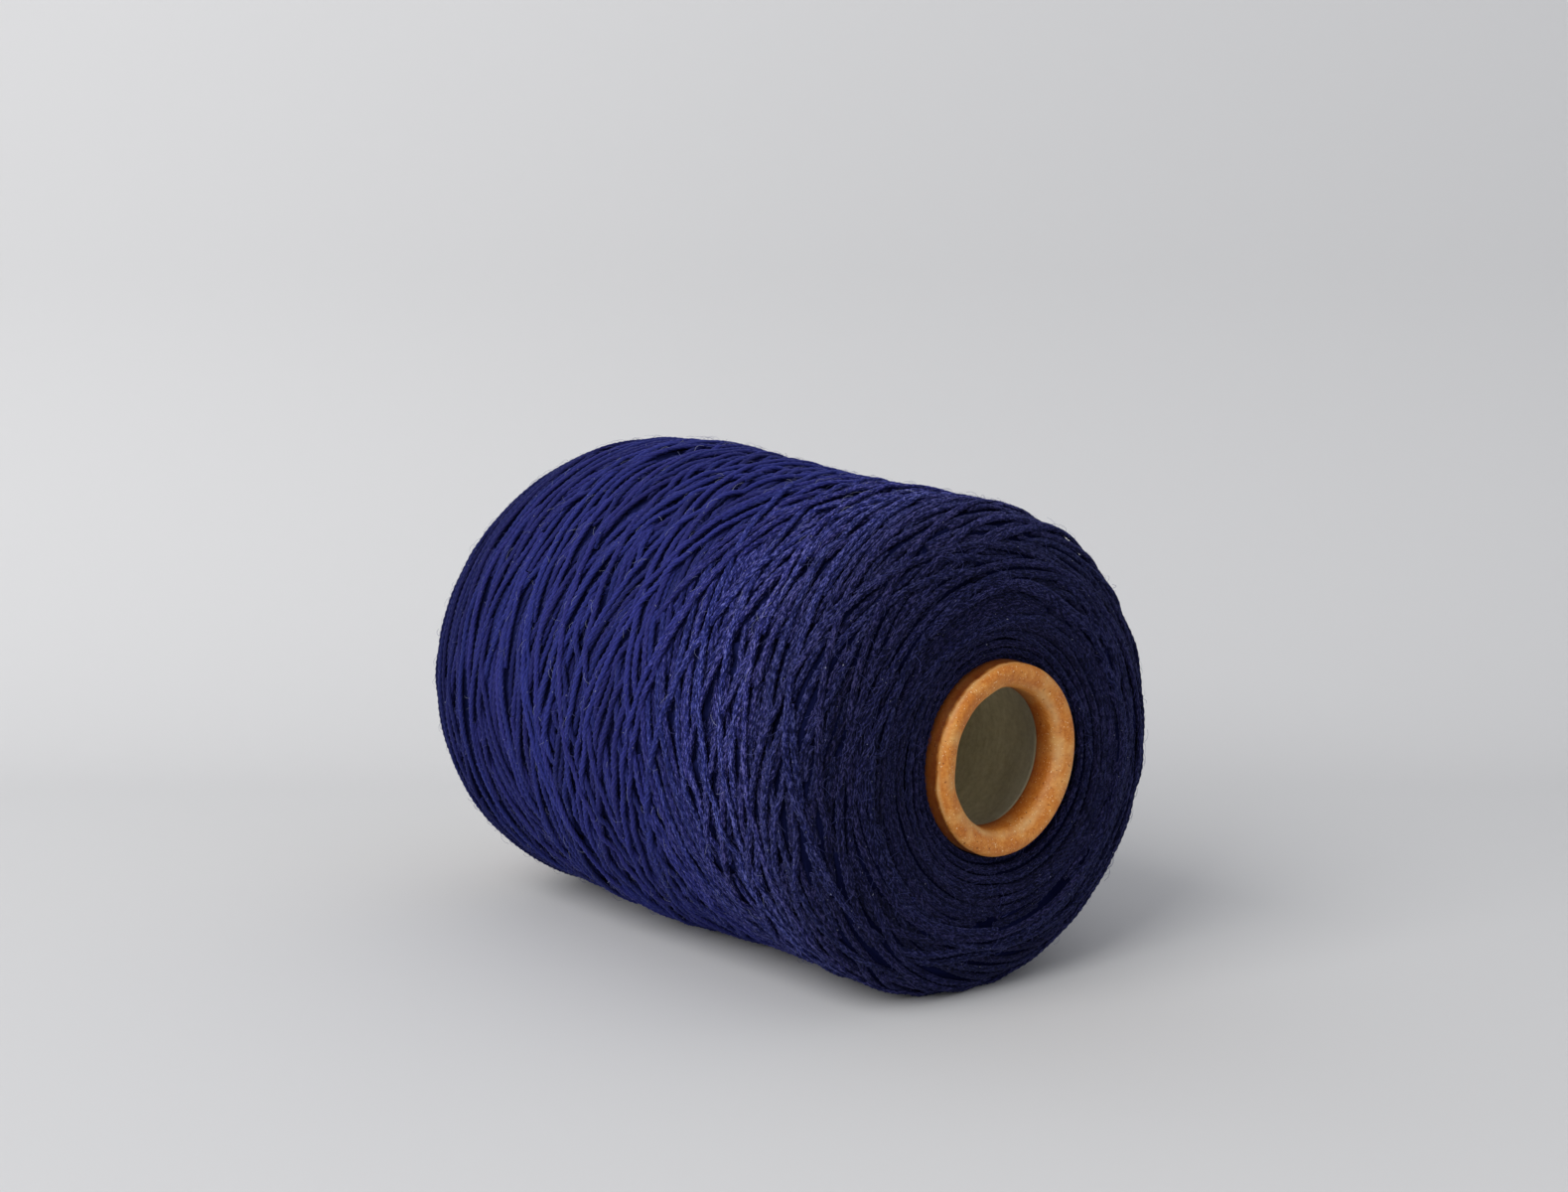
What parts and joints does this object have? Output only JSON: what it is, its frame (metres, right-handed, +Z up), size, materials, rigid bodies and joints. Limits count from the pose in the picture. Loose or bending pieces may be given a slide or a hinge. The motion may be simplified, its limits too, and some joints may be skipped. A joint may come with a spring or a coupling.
{
  "type": "cone of knitting yarn",
  "caption": "Tapered paper cone with a rolled nose, wound with plied knitting yarn in crossing bundles and lying on its side.",
  "frame": {"origin": "middle of the object's outline on the surface it lies on, under the yarn's pressed flat", "axes": "+X along the cone as it lies, towards its rolled nose; +Z up; +Y to the left when looking along +X"},
  "size_m": [0.1726, 0.1165, 0.1163],
  "materials": {
    "chipboard": "matte",
    "cover_paper": "satin",
    "yarn": "matte"
  },
  "bodies": {
    "root": {"chipboard_cone": "chipboard", "cover_paper": "cover_paper", "packed_yarn": "yarn", "nose_end_turns": "yarn", "base_end_turns": "yarn", "lower_course": "yarn", "upper_course": "yarn"}
  },
  "joints": []
}
